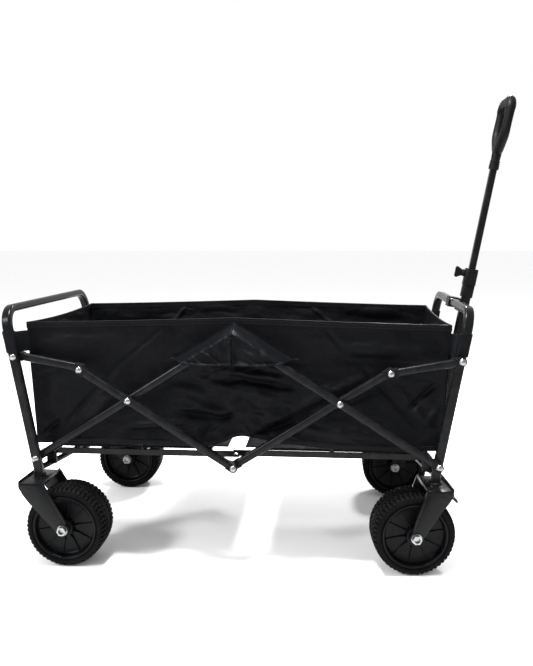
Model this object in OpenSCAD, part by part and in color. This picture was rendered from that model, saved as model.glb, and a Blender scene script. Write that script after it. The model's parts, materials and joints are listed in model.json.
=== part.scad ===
// Folding camp wagon: four wheels, a fabric basket on a scissor frame and a telescoping pull handle.
// Millimetres. +X points to the handle, +Z up, the ground is z = 0 and the origin is the middle of
// the overall length. Side pivots are measured from the hub plane, where the two side bars meet.

/* [Wheels] */
// Outer diameter of each tyre
wheel_d = 170; // [150:1:172]
// Width of each tyre
wheel_w = 84; // [60:1:86]
// Diameter of the plastic rim
rim_d = 136; // [110:1:140]
// Diameter of the axle bolts
axle_d = 12; // [8:1:14]
// Distance of a rear axle from its fork's upright axis
rear_trail = 64; // [50:1:70]
// Distance of a front axle behind its castor's upright axis
castor_trail = 46; // [44:1:50]
// Turn of the near front castor at rest, in degrees
castor_turn = 6; // [0:1:10]

/* [Side frames] */
// Slope of the crossed side bars with the wagon open, in degrees
bar_angle = 32.4; // [30:0.1:34]
// Distance along a bar from the crossing to the hub pivots
cross_to_hub = 262; // [250:1:270]
// Distance along a bar from the crossing to the leg pivot
cross_to_leg = 240.5; // [230:0.5:250]
// Distance along a bar from the crossing to the link pivot
cross_to_link = 120.5; // [110:0.5:125]
// Height of the crossing pivots
cross_z = 352.8; // [345:0.1:360]
// Depth of a side bar, across the wagon
bar_t = 16; // [12:1:16]
// Height of a side bar
bar_h = 17; // [14:1:18]
// Distance from the middle plane to the outer layer of side bars
outer_y = 254; // [252:1:258]
// Distance from the middle plane to the inner layer of side bars
inner_y = 236; // [234:1:238]

/* [End hoops] */
// Outward lean of the end hoops, in degrees
lean = 10.2; // [8:0.1:12]
// Height of the middle of the hoops' top rails
rail_z = 542; // [520:1:560]
// Bend radius of a hoop's corners
hoop_bend = 42; // [30:1:60]
// Width of the hoop tube along the wagon
leg_w = 20; // [16:1:22]
// Width of the hoop tube across the wagon
leg_t = 17; // [14:1:17]

/* [Basket] */
// Height of the basket's top edge at its corners
rim_z = 514; // [500:1:520]
// Rise of the top edge over the middle hubs
rim_rise = 12; // [0:1:16]
// Distance from the hub plane to a basket end at the top
basket_top_x = 447; // [440:1:450]
// Distance from the hub plane to a basket end at the bottom
basket_low_x = 434; // [430:1:440]
// Distance from the middle plane to the outside of a side wall
basket_y = 222; // [215:1:223]
// Height of the bottom edge of the basket
basket_low_z = 246; // [240:1:250]
// Thickness of the basket fabric
cloth_t = 2; // [1:0.5:3]

/* [Floor] */
// Distance from the hub plane to each floor hinge
floor_hinge_x = 405; // [400:1:410]
// Height of the floor hinges
floor_z = 229; // [225:1:232]
// Gap that each half of the floor mat leaves at the middle
mat_gap = 20; // [18:1:24]
// Thickness of the padded mat boards
mat_t = 10; // [6:1:12]

/* [Pull handle] */
// Distance from the hub plane to the handle's pivot
handle_x = 452; // [448:1:456]
// Height of the handle's pivot
handle_z = 228; // [224:1:232]
// Distance along the pole to the top of the lower pole
pole_len = 360; // [350:1:365]
// Distance along the pole to the middle of the grip's top bar
grip_len = 772; // [740:1:790]
// Width of the square upper pole
inner_pole_w = 15; // [13:1:16]
// Width of the square lower pole
outer_pole_w = 20; // [19:1:22]
// Outer width of the grip
grip_w = 116; // [100:1:130]

/* [Hidden] */
$fn = 48;
STEEL = "#1d1e21";
PLASTIC = "#17181a";
CLOTH = "#141519";
BRIGHT = "#b9bbbf";
RUBBER = "#2b2c2e";

wheel_r = wheel_d / 2;
fit = 0.05;                     // radial running clearance of every pivot
pin_r = 4;                      // radius of the side frames' rivets
rivet_head_r = 7;
rivet_head_h = 4;
tube_wall = 1.5;
cap_len = 26;                   // length of a plastic end cap over a bar's end
cap_grow = 0.5;                 // a cap is this much deeper than its bar on each side
link_x_top = 39.6;              // how far the link pivot on the leg lies outside the leg pivot
link_z_top = 219.6;             // how far the link pivot on the leg lies above the leg pivot

ca = cos(bar_angle);
sa = sin(bar_angle);
hub_low = [0, cross_z - cross_to_hub * sa];
hub_high = [0, cross_z + cross_to_hub * sa];
cross_x = cross_to_hub * ca;
leg_x = (cross_to_hub + cross_to_leg) * ca;
leg_z = cross_z - cross_to_leg * sa;
link_x = cross_x + cross_to_link * ca;
link_z = cross_z + cross_to_link * sa;
top_x = leg_x + link_x_top;
top_z = leg_z + link_z_top;
rail_s = (rail_z - leg_z) / cos(lean);        // leg pivot to top rail, along the hoop's plane
rail_x = leg_x + rail_s * sin(lean);
fork_top = 184;                 // height of the forks' top faces
fork_t = 3;
fork_half = wheel_w / 2 + 6;    // half of the gap between a fork's side plates
foot_z = 190;                   // height of the bottom ends of the legs
foot_x = leg_x - (leg_z - foot_z) * tan(lean);
king_r = 6;
bow_x = leg_x - 38;             // middle of the bowed crossbars
bow_z = 201;
bow_r = 6.5;
rear_y = outer_y;               // middle of the rear wheels
front_y = inner_y;              // middle of the front castors
brake_pin = [20, -15];          // the pedal's pin from the kingpin, outwards and down
brake_arm = 21;                 // the pedal's arm down towards the tyre
mat_notch = 38;                 // length of the notch that lets the other half's side rail pass
pedal_tilt = 40;                // slope of the pedal's plate with the brake off
dish = 14;                      // depth of a rim's dished face
grip_bar_r = 11;
handle_tip = handle_x + grip_len * sin(lean) + grip_bar_r;
tube_r = 5;                     // corner radius of the hoop tube
rail_out = rail_x + (leg_w / 2 - tube_r) * cos(lean) + (leg_t / 2 - tube_r) * sin(lean) + tube_r;
mid_x = (handle_tip - rail_out) / 2;          // hub plane to the middle of the overall length

// The two ends are mirror images about the hub plane, apart from the layer each bar lies in.
module rear_side() translate([-mid_x, 0, 0]) mirror([1, 0, 0]) children();
module front_side() translate([-mid_x, 0, 0]) children();
module both_sides() { children(); mirror([0, 1, 0]) children(); }

// Rounded rectangle, centred
module round_rect(w, h, r) {
  square([w - 2 * r, h], center = true);
  square([w, h - 2 * r], center = true);
  for (x = [-1, 1], y = [-1, 1]) translate([x * (w / 2 - r), y * (h / 2 - r)]) circle(r);
}
module tube_section(w, h, r, wall) {
  difference() {
    round_rect(w, h, r);
    round_rect(w - 2 * wall, h - 2 * wall, r - wall * 0.6);
  }
}
// Cylinder along Y, centred on y
module y_cyl(x, y, z, r, len) {
  translate([x, y, z]) rotate([90, 0, 0]) cylinder(r = r, h = len, center = true);
}
// Round rod between two points
module rod(a, b, r) {
  d = b - a;
  translate(a) rotate([0, acos(d[2] / norm(d)), atan2(d[1], d[0])]) cylinder(r = r, h = norm(d));
}
// A side bar's own frame: origin at point a = [x, z], its length along +X
module along_bar(a, b, y) {
  translate([a[0], y, a[1]]) rotate([0, -atan2(b[1] - a[1], b[0] - a[0]), 0]) children();
}
// Hollow bar with holes at the distances given, its ends cut back by c0 and c1
module side_bar(a, b, y, holes, c0, c1) {
  along_bar(a, b, -y) difference() {
    translate([c0, 0, 0]) rotate([90, 0, 90]) linear_extrude(norm(b - a) - c0 - c1)
      tube_section(bar_t, bar_h, 3, tube_wall);
    for (d = holes) y_cyl(d, 0, 0, pin_r + fit, bar_t + 2);
  }
}
// Plastic cap round the end of a bar; the pivot is at the origin and the bar leaves along +X
module end_cap() {
  t = bar_t + 2 * cap_grow;
  h = bar_h + 2 * cap_grow;
  difference() {
    union() {
      y_cyl(0, 0, 0, h / 2, t);
      translate([0, -t / 2, -h / 2]) cube([cap_len - 12, t, h]);
    }
    y_cyl(0, 0, 0, pin_r + fit, t + 2);
  }
}
module cap_at(a, b, y) along_bar(a, b, -y) end_cap();
// Rivet along Y through the layers from y0 (outside) to y1 (inside), with a domed outer head
module rivet(p, y0, y1) {
  translate([p[0], -y0, p[1]]) rotate([90, 0, 0]) {
    intersection() {
      translate([0, 0, rivet_head_h - 8.2]) sphere(8.2);
      cylinder(r = rivet_head_r, h = 8);
    }
  }
  y_cyl(p[0], -(y0 + y1) / 2, p[1], pin_r, y0 - y1);
}
module rivet_tail(p, y) y_cyl(p[0], -(y - 1), p[1], 6, 2);

outer_face = outer_y + bar_t / 2 + cap_grow;
inner_face = inner_y - bar_t / 2 - cap_grow;
skirt_y = outer_face + rivet_head_h + 1;
layer_gap_out = outer_y - bar_t / 2 - cap_grow;
cap_cut = cap_len - 12;

P_hub_low = hub_low;
P_hub_high = hub_high;
P_cross = [cross_x, cross_z];
P_leg = [leg_x, leg_z];
P_link = [link_x, link_z];
P_top = [top_x, top_z];

// ---- end hoops -------------------------------------------------------------------------
module hoop_frame() translate([leg_x, 0, leg_z]) rotate([0, lean, 0]) children();
module leg_holes(y) {
  y_cyl(leg_x, -y, leg_z, pin_r + fit, leg_t + 2);
  y_cyl(top_x, -y, top_z, pin_r + fit, leg_t + 2);
}
module hoop(y) {
  s0 = (foot_z - leg_z) / cos(lean);
  leg_len = rail_s - hoop_bend - s0;
  difference() {
    hoop_frame() {
      both_sides() {
        translate([0, -y, s0]) linear_extrude(leg_len) tube_section(leg_w, leg_t, tube_r, tube_wall);
        translate([0, -y + hoop_bend, rail_s - hoop_bend]) rotate([90, 0, 90]) mirror([1, 0, 0])
          rotate_extrude(angle = 90) translate([hoop_bend, 0]) rotate(90)
            tube_section(leg_w, leg_t, tube_r, tube_wall);
      }
      translate([0, y - hoop_bend, rail_s]) rotate([90, 0, 0])
        linear_extrude(2 * (y - hoop_bend)) tube_section(leg_w, leg_t, tube_r, tube_wall);
    }
    both_sides() leg_holes(y);
    translate([leg_x - 60, -y - 30, foot_z - 20]) cube([120, 2 * y + 60, 20]);
  }
}
// Tube bowed inwards low between the legs, as one arc that ends at the legs' inner faces
module bow(y_end) {
  rise = leg_x - (leg_z - bow_z) * tan(lean) - bow_x;
  r = (y_end * y_end + rise * rise) / (2 * rise);
  half = asin(y_end / r);
  translate([bow_x + r, 0, bow_z]) rotate(180 - half) rotate_extrude(angle = 2 * half, $fn = 720)
    translate([r, 0]) circle(bow_r, $fn = 48);
}
// The bowed tube and the plates that carry the floor's hinge tube
module crossbar(y) {
  bow(y - leg_t / 2);
  floor_lugs();
}
module hinge_tube() {
  difference() {
    y_cyl(floor_hinge_x, 0, floor_z, 7, 2 * 218);
    y_cyl(floor_hinge_x, 0, floor_z, 5.6, 2 * 218 + 2);
  }
}
module floor_lugs() {
  both_sides() translate([0, -214, 0]) rotate([90, 0, 0]) linear_extrude(3) difference() {
    union() {
      translate([floor_hinge_x, floor_z]) circle(11);
      translate([floor_hinge_x - 11, bow_z + 1]) square([22, floor_z - bow_z - 1]);
    }
    translate([floor_hinge_x, floor_z]) circle(7);
  }
}
// Plastic foot between a leg's end and the fork or bearing below it, down to height z0
module leg_plugs(y, z0) {
  both_sides() translate([foot_x, -y, z0]) difference() {
    cylinder(r = 13, h = foot_z - z0);
    cylinder(r = king_r + fit, h = 30, center = true);
  }
}
module corner_sleeve(y) {
  s0 = 232;
  hoop_frame() both_sides() translate([0, -y, s0]) linear_extrude(44) difference() {
    round_rect(leg_w + 5, leg_t + 1.6, 5);
    round_rect(leg_w + 0.4, leg_t + 0.2, 5);
  }
}

// ---- wheels and forks ------------------------------------------------------------------
// Fork about its upright axis; the wheel trails towards -X, the axle is at [-t, wheel_r]
module fork(t) {
  x_out = 28;
  x_in = -27;
  outer = fork_half + fork_t;
  difference() {
    union() {
      translate([x_in, -outer, fork_top - 4]) cube([x_out - x_in, 2 * outer, 4]);
      for (x = [x_in, x_out - 2.5]) translate([x, -outer, fork_top - 4])
        cube([2.5, 2 * outer, 8]);
      both_sides() translate([0, -fork_half, 0]) rotate([90, 0, 0]) linear_extrude(fork_t)
        fork_plate(t, x_out, x_in);
      both_sides() translate([0, -fork_half, 0]) rotate([90, 0, 0]) linear_extrude(7)
        fork_flange(t, x_in);
    }
    y_cyl(-t, 0, wheel_r, axle_d / 2 + fit, 300);
    translate([0, 0, fork_top - 10]) cylinder(r = king_r + fit, h = 20);
    both_sides() for (x = [-4, 4]) translate([x, -outer, fork_top - 13])
      cube([8, 12, 3], center = true);
  }
}
module fork_plate(t, x_out, x_in) {
  polygon([[x_out, fork_top], [x_out, fork_top - 9], [x_out - 9, fork_top - 26],
    [x_out - 27, fork_top - 48], [-t + 9, wheel_r - 9], [-t - 9, wheel_r + 9], [x_in, fork_top]]);
  translate([-t, wheel_r]) circle(13);
}
// Narrow stiffening flange along the fork's trailing edge
module fork_flange(t, x_in) {
  polygon([[x_in, fork_top], [x_in + 2.5, fork_top], [-t - 5.5, wheel_r + 15],
    [-t - 8, wheel_r + 15]]);
}
module axle_bolt(t) {
  grip = fork_half + fork_t;
  y_cyl(-t, 0, wheel_r, axle_d / 2, 2 * grip + 8);
  both_sides() {
    difference() {
      y_cyl(-t, -grip - 1, wheel_r, 11, 2);
      y_cyl(-t, -grip - 1, wheel_r, axle_d / 2, 4);
    }
    translate([-t, -grip - 2, wheel_r]) rotate([90, 0, 0]) difference() {
      cylinder(r = 9.8, h = 8, $fn = 6);
      cylinder(r = axle_d / 2, h = 20, center = true, $fn = 48);
    }
  }
}
// Tyre with a rounded shoulder, shallow grooves and a flat wall
module tyre(t) {
  h = wheel_w / 2;
  r0 = rim_d / 2 + fit;
  translate([-t, 0, wheel_r]) rotate([90, 0, 0]) rotate_extrude($fn = 96) polygon([
    [r0, -h + 3], [r0 + 4, -h], [wheel_r - 9, -h], [wheel_r - 4, -h + 3], [wheel_r - 1, -h + 8],
    [wheel_r, -h + 14], [wheel_r, -16], [wheel_r - 3, -15], [wheel_r - 3, -12], [wheel_r, -11],
    [wheel_r, 11], [wheel_r - 3, 12], [wheel_r - 3, 15], [wheel_r, 16],
    [wheel_r, h - 14], [wheel_r - 1, h - 8], [wheel_r - 4, h - 3], [wheel_r - 9, h],
    [r0 + 4, h], [r0, h - 3]]);
}
module rim(t) {
  h = wheel_w / 2;
  r1 = rim_d / 2;
  bore = axle_d / 2 + fit;
  hub_r = 17;
  translate([-t, 0, wheel_r]) rotate([90, 0, 0]) rotate_extrude($fn = 96) polygon([
    [r1, -h + 3], [r1, h - 3], [r1 - 6, h - 2], [r1 - 9, h - dish], [hub_r, h - dish],
    [hub_r, h - 1], [bore, h - 1], [bore, -h + 1], [hub_r, -h + 1], [hub_r, -h + dish],
    [r1 - 9, -h + dish], [r1 - 6, -h + 2]]);
}
module brake_pedal() translate([brake_pin[0], 0, fork_top + brake_pin[1]]) rotate([90, 0, 0]) {
  cylinder(r = 3, h = 2 * fork_half - 0.6, center = true);
  linear_extrude(34, center = true) difference() {
    union() {
      circle(6);
      rotate(-pedal_tilt) translate([4, -2]) square([29, 4]);
    }
    circle(3 + fit);
  }
  translate([-3, -brake_arm, -12]) cube([5, brake_arm - 4, 24]);
}
module castor_place(y, turn) translate([foot_x, y, 0]) rotate(turn) children();
module kingpin() {
  difference() {
    translate([0, 0, fork_top]) cylinder(r = 15, h = foot_z - 1 - fork_top);
    translate([0, 0, fork_top - 5]) cylinder(r = king_r, h = 20);
  }
  translate([0, 0, fork_top - 9]) cylinder(r = king_r, h = foot_z + 8 - fork_top);
  translate([0, 0, fork_top - 9]) cylinder(r = 10, h = 4.6);
}

// ---- basket ----------------------------------------------------------------------------
module end_wall() {
  dx = (basket_top_x - basket_low_x) / (rim_z - basket_low_z);
  y = basket_y - cloth_t - 0.5;
  rotate([90, 0, 0]) translate([0, 0, -y]) linear_extrude(2 * y) polygon([
    [basket_low_x - cloth_t, basket_low_z], [basket_low_x, basket_low_z],
    [basket_top_x, rim_z], [basket_top_x - cloth_t, rim_z]]);
}
module side_wall() {
  both_sides() translate([0, -basket_y + cloth_t, 0]) rotate([90, 0, 0]) linear_extrude(cloth_t)
    polygon([[-basket_low_x, basket_low_z], [basket_low_x, basket_low_z], [basket_top_x, rim_z],
      [0, rim_z + rim_rise], [-basket_top_x, rim_z]]);
}
// Half of the fabric tent over the upper hub: a sloping top and a skirt that hangs at y_out.
// Each half moves with its own bars, so the two skirts hang in different layers.
module hub_flap(y_out) {
  hem_z = 436;
  half = 134;
  y_top = basket_y + 0.5;
  z_out = hub_high[1] + 9;
  apex_z = rim_z + rim_rise;
  both_sides() intersection() {
    translate([0.5, 0, 0]) rotate([90, 0, 90]) linear_extrude(half) polygon([
      [-y_top, apex_z], [-y_out, z_out], [-y_out, hem_z], [-y_out - cloth_t, hem_z],
      [-y_out - cloth_t, z_out + 2], [-y_top, apex_z + 3]]);
    rotate([90, 0, 0]) linear_extrude(700, center = true) polygon([[0, hem_z - 1],
      [half, hem_z - 1], [half, hem_z + 6], [5, apex_z + 5], [0, apex_z + 5]]);
  }
}

// ---- floor -----------------------------------------------------------------------------
// rail_y sets the layer of the side rails, so that the two halves pass each other at the middle
module floor_frame(rail_y) {
  rail_t = 7;
  r = 9.5;
  difference() {
    union() {
      both_sides() {
        y_cyl(floor_hinge_x, -rail_y, floor_z, r, rail_t);
        translate([-7, -rail_y - rail_t / 2, floor_z - 6]) cube([floor_hinge_x, rail_t, 12]);
      }
      for (x = [62, 205, 340]) y_cyl(x, 0, floor_z, 6, 2 * rail_y - rail_t - 0.1);
    }
    y_cyl(floor_hinge_x, 0, floor_z, 7 + fit, 600);
    y_cyl(0, 0, floor_z, pin_r + fit, 600);
  }
}
module mat_boards() {
  z = floor_z + 7.5;
  half = basket_y - cloth_t - 7;
  mid = (mat_gap + floor_hinge_x - 12) / 2;
  difference() {
    for (x = [mat_gap, mid + 2]) translate([x, -half, z])
      cube([mid - 2 - mat_gap, 2 * half, mat_t]);
    both_sides() translate([mat_gap - 1, -half - 1, z - 1]) cube([mat_notch, half - 193, mat_t + 2]);
  }
}

// ---- pull handle -----------------------------------------------------------------------
// Along the pole: origin at the pivot, +Z up the pole
module pole_frame() translate([handle_x, 0, handle_z]) rotate([0, lean, 0]) children();
module handle_lugs() {
  difference() {
    both_sides() {
      translate([0, -15.3, 0]) rotate([90, 0, 0]) linear_extrude(4) polygon([
        [bow_x - 6, bow_z - 3], [bow_x - 6, bow_z + 7], [handle_x - 8, handle_z + 10],
        [handle_x + 6, handle_z + 10], [handle_x + 11, handle_z], [handle_x + 6, handle_z - 11],
        [bow_x + 18, bow_z - 3]]);
    }
    y_cyl(handle_x, 0, handle_z, pin_r, 100);
    bow(inner_y - leg_t / 2);
  }
}
module handle_pin() {
  y_cyl(handle_x, 0, handle_z, pin_r, 38.6);
  both_sides() y_cyl(handle_x, -20.8, handle_z, 7, 3);
}
module pole_foot() {
  difference() {
    union() {
      rotate([90, 0, 0]) cylinder(r = 11, h = 26, center = true);
      translate([-outer_pole_w / 2 - 1, -13, 0]) cube([outer_pole_w + 2, 26, 26]);
    }
    y_cyl(0, 0, 0, pin_r + fit, 40);
  }
}
module lower_pole_tube() {
  translate([0, 0, 26]) linear_extrude(pole_len - 26)
    tube_section(outer_pole_w, outer_pole_w, 4, 1.6);
}
module clamp_body() {
  translate([0, 0, pole_len - 30]) linear_extrude(30) difference() {
    round_rect(outer_pole_w + 6, outer_pole_w + 6, 6);
    round_rect(outer_pole_w + 0.1, outer_pole_w + 0.1, 4.05);
  }
  translate([0, 0, pole_len]) difference() {
    linear_extrude(36) difference() {
      round_rect(outer_pole_w + 8, outer_pole_w + 8, 6);
      round_rect(inner_pole_w + 0.4, inner_pole_w + 0.4, 3.2);
    }
    translate([0, 0, 24]) rotate([0, -90, 0]) cylinder(r = 5 + fit, h = 40);
  }
}
module knob() {
  stem = outer_pole_w / 2 + 4;
  translate([0, 0, pole_len + 24]) rotate([0, -90, 0]) {
    translate([0, 0, inner_pole_w / 2 + 0.6]) cylinder(r = 5, h = 12);
    translate([0, 0, stem + 0.4]) cylinder(r = 8, h = 5);
    translate([0, 0, stem + 5.4]) linear_extrude(18) round_rect(24, 9, 3);
  }
}
module inner_pole_tube() {
  low = pole_len - 70;
  translate([0, 0, low]) linear_extrude(grip_len - 128 - low)
    tube_section(inner_pole_w, inner_pole_w, 3, 1.4);
}
module grip() {
  r = grip_bar_r;
  half = grip_w / 2 - r;
  top = grip_len;
  corner = 24;
  shoulder = top - 70;
  neck = top - 112;
  translate([0, half - corner, top]) rotate([90, 0, 0]) cylinder(r = r, h = 2 * (half - corner));
  both_sides() {
    translate([0, -half + corner, top - corner]) rotate([90, 0, 90]) mirror([1, 0, 0])
      rotate_extrude(angle = 90) translate([corner, 0]) circle(r);
    rod([0, -half, top - corner], [0, -half, shoulder], r);
    translate([0, -half, shoulder]) sphere(r);
    rod([0, -half, shoulder], [0, 0, neck], r);
  }
  translate([0, 0, neck]) sphere(r);
  translate([0, 0, grip_len - 150]) difference() {
    cylinder(r = r, h = 38);
    translate([0, 0, -1]) linear_extrude(23)
      round_rect(inner_pole_w + 0.1, inner_pole_w + 0.1, 3.05);
  }
}
// Plastic clip round the top rail with two prongs beside the pole
module rail_clip() {
  gap = outer_pole_w / 2 + 0.6;
  reach = (handle_x - rail_x) + (rail_z - handle_z) * tan(lean);
  hoop_frame() translate([0, 0, rail_s]) difference() {
    union() {
      translate([-leg_w / 2 - 3, -18, -leg_t / 2 - 3]) cube([leg_w + 6, 36, leg_t + 6]);
      both_sides() translate([leg_w / 2 - 1, -gap - 4, -leg_t / 2 - 9]) cube([reach - 7, 4, 12]);
    }
    translate([0, 20, 0]) rotate([90, 0, 0]) linear_extrude(40)
      round_rect(leg_w + 0.1, leg_t + 0.1, 5.05);
  }
}

// ---- nodes -----------------------------------------------------------------------------
module rear_hoop() color(STEEL) rear_side() hoop(outer_y);
module rear_crossbar() color(STEEL) rear_side() crossbar(outer_y);
module rear_floor_hinge_tube() color(STEEL) rear_side() hinge_tube();
module rear_forks_near() color(STEEL) rear_side() translate([foot_x, -rear_y, 0]) fork(rear_trail);
module rear_forks_far() color(STEEL) rear_side() translate([foot_x, rear_y, 0]) fork(rear_trail);
module rear_leg_plugs() color(PLASTIC) rear_side() leg_plugs(outer_y, fork_top);
module rear_axles() color(BRIGHT) rear_side() both_sides() {
  translate([foot_x, -rear_y, 0]) axle_bolt(rear_trail);
  translate([foot_x, -rear_y, fork_top - 4.1 - 4]) cylinder(r = 10, h = 4);
  translate([foot_x, -rear_y, fork_top - 4.1]) cylinder(r = king_r, h = 9);
}
module rear_leg_rivets() color(BRIGHT) rear_side() both_sides() {
  rivet(P_leg, outer_face, inner_face);
  rivet_tail(P_leg, inner_face);
  rivet(P_top, outer_face, inner_face);
  rivet_tail(P_top, inner_face);
}
module rear_corner_sleeves() color(CLOTH) rear_side() corner_sleeve(outer_y);
module basket_rear_wall() color(CLOTH) rear_side() end_wall();
module basket_side_walls() color(CLOTH) front_side() side_wall();
module rear_hub_flaps() color(CLOTH) rear_side() hub_flap(skirt_y + cloth_t + 0.5);
module front_hub_flaps() color(CLOTH) front_side() hub_flap(skirt_y);

module rear_rising_bars() color(STEEL) rear_side() both_sides()
  side_bar(P_leg, P_hub_high, inner_y, [0, cross_to_leg], cap_cut, cap_cut);
module rear_rising_caps() color(PLASTIC) rear_side() both_sides() {
  cap_at(P_leg, P_hub_high, inner_y);
  cap_at(P_hub_high, P_leg, inner_y);
}
module rear_rising_rivets() color(BRIGHT) rear_side() both_sides() {
  rivet(P_cross, outer_face, inner_face);
  rivet_tail(P_cross, inner_face);
  rivet(P_hub_high, outer_face, inner_face);
  rivet_tail(P_hub_high, inner_face);
}
module rear_falling_bars() color(STEEL) rear_side() both_sides()
  side_bar(P_link, P_hub_low, outer_y, [cross_to_link], cap_cut, cap_cut);
module rear_falling_caps() color(PLASTIC) rear_side() both_sides() {
  cap_at(P_link, P_hub_low, outer_y);
  cap_at(P_hub_low, P_link, outer_y);
}
module rear_falling_rivets() color(BRIGHT) rear_side() both_sides() {
  rivet(P_link, outer_face, layer_gap_out);
  rivet(P_hub_low, outer_face, inner_face);
  rivet_tail(P_hub_low, inner_face);
}
module front_falling_bars() color(STEEL) front_side() both_sides()
  side_bar(P_link, P_hub_low, inner_y, [cross_to_link], cap_cut, cap_cut);
module front_falling_caps() color(PLASTIC) front_side() both_sides() {
  cap_at(P_link, P_hub_low, inner_y);
  cap_at(P_hub_low, P_link, inner_y);
}
module front_falling_rivets() color(BRIGHT) front_side() both_sides() {
  rivet(P_cross, outer_face, inner_face);
  rivet_tail(P_cross, inner_face);
  rivet_tail(P_link, inner_face);
}
module front_rising_bars() color(STEEL) front_side() both_sides()
  side_bar(P_leg, P_hub_high, outer_y, [cross_to_leg], cap_cut, cap_cut);
module front_rising_caps() color(PLASTIC) front_side() both_sides() {
  cap_at(P_leg, P_hub_high, outer_y);
  cap_at(P_hub_high, P_leg, outer_y);
}
module front_hoop() color(STEEL) front_side() hoop(inner_y);
module front_crossbar() color(STEEL) front_side() crossbar(inner_y);
module front_floor_hinge_tube() color(STEEL) front_side() hinge_tube();
module front_leg_plugs() color(PLASTIC) front_side() leg_plugs(inner_y, foot_z - 1);
module castor_kingpins() color(BRIGHT) front_side() both_sides()
  translate([foot_x, -front_y, 0]) kingpin();
module front_leg_rivets() color(BRIGHT) front_side() both_sides() {
  rivet(P_leg, outer_face, inner_face);
  rivet_tail(P_leg, inner_face);
  rivet(P_top, outer_face, inner_face);
  rivet_tail(P_top, inner_face);
}
module front_corner_sleeves() color(CLOTH) front_side() corner_sleeve(inner_y);
module basket_front_wall() color(CLOTH) front_side() end_wall();
module handle_bracket() color(STEEL) front_side() { handle_lugs(); handle_pin(); }
module handle_clip() color(PLASTIC) front_side() rail_clip();

module rear_links() color(STEEL) rear_side() link(inner_y);
module front_links() color(STEEL) front_side() link(outer_y);
module link(y) both_sides() difference() {
  union() {
    cap_at(P_top, P_link, y);
    cap_at(P_link, P_top, y);
    side_bar(P_top, P_link, y, [], cap_cut - 1, cap_cut - 1);
  }
}
module front_link_rivets() color(BRIGHT) front_side() both_sides()
  rivet(P_link, outer_face, layer_gap_out);
module rear_floor_frame() color(STEEL) rear_side() floor_frame(208);
module rear_mat_boards() color(CLOTH) rear_side() mat_boards();
module front_floor_frame() color(STEEL) front_side() floor_frame(199);
module front_mat_boards() color(CLOTH) front_side() mat_boards();

module at_rear(y) rear_side() translate([foot_x, y, 0]) children();
module at_front(y, turn) front_side() castor_place(y, turn) children();
module tyre_rear_near() color(RUBBER) at_rear(-rear_y) tyre(rear_trail);
module rim_rear_near() color(PLASTIC) at_rear(-rear_y) rim(rear_trail);
module tyre_rear_far() color(RUBBER) at_rear(rear_y) tyre(rear_trail);
module rim_rear_far() color(PLASTIC) at_rear(rear_y) rim(rear_trail);
module tyre_front_near() color(RUBBER) at_front(-front_y, castor_turn) tyre(castor_trail);
module rim_front_near() color(PLASTIC) at_front(-front_y, castor_turn) rim(castor_trail);
module tyre_front_far() color(RUBBER) at_front(front_y, 0) tyre(castor_trail);
module rim_front_far() color(PLASTIC) at_front(front_y, 0) rim(castor_trail);
module castor_near_fork() color(STEEL) at_front(-front_y, castor_turn) fork(castor_trail);
module castor_far_fork() color(STEEL) at_front(front_y, 0) fork(castor_trail);
module castor_near_axle() color(BRIGHT) at_front(-front_y, castor_turn) axle_bolt(castor_trail);
module castor_far_axle() color(BRIGHT) at_front(front_y, 0) axle_bolt(castor_trail);
module near_brake_pedal() color(STEEL) at_front(-front_y, castor_turn) brake_pedal();
module far_brake_pedal() color(STEEL) at_front(front_y, 0) brake_pedal();

module lower_pole() color(STEEL) front_side() pole_frame() { pole_foot(); lower_pole_tube(); }
module pole_clamp() color(PLASTIC) front_side() pole_frame() clamp_body();
module clamp_knob() color(PLASTIC) front_side() pole_frame() knob();
module upper_pole() color(STEEL) front_side() pole_frame() inner_pole_tube();
module handle_grip() color(PLASTIC) front_side() pole_frame() grip();

rear_hoop();
rear_crossbar();
rear_floor_hinge_tube();
rear_forks_near();
rear_forks_far();
rear_leg_plugs();
rear_axles();
rear_leg_rivets();
rear_corner_sleeves();
basket_rear_wall();
basket_side_walls();
rear_hub_flaps();
front_hub_flaps();
rear_rising_bars();
rear_rising_caps();
rear_rising_rivets();
rear_falling_bars();
rear_falling_caps();
rear_falling_rivets();
front_falling_bars();
front_falling_caps();
front_falling_rivets();
front_rising_bars();
front_rising_caps();
front_hoop();
front_crossbar();
front_floor_hinge_tube();
front_leg_plugs();
castor_kingpins();
front_leg_rivets();
front_corner_sleeves();
basket_front_wall();
handle_bracket();
handle_clip();
rear_links();
front_links();
front_link_rivets();
rear_floor_frame();
rear_mat_boards();
front_floor_frame();
front_mat_boards();
tyre_rear_near();
rim_rear_near();
tyre_rear_far();
rim_rear_far();
tyre_front_near();
rim_front_near();
tyre_front_far();
rim_front_far();
castor_near_fork();
castor_far_fork();
castor_near_axle();
castor_far_axle();
near_brake_pedal();
far_brake_pedal();
lower_pole();
pole_clamp();
clamp_knob();
upper_pole();
handle_grip();
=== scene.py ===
"""Looks of the folding camp wagon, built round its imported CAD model. Lengths are in metres."""
import json
import math

import bmesh
import bpy
from mathutils import Matrix, Vector, noise


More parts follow.
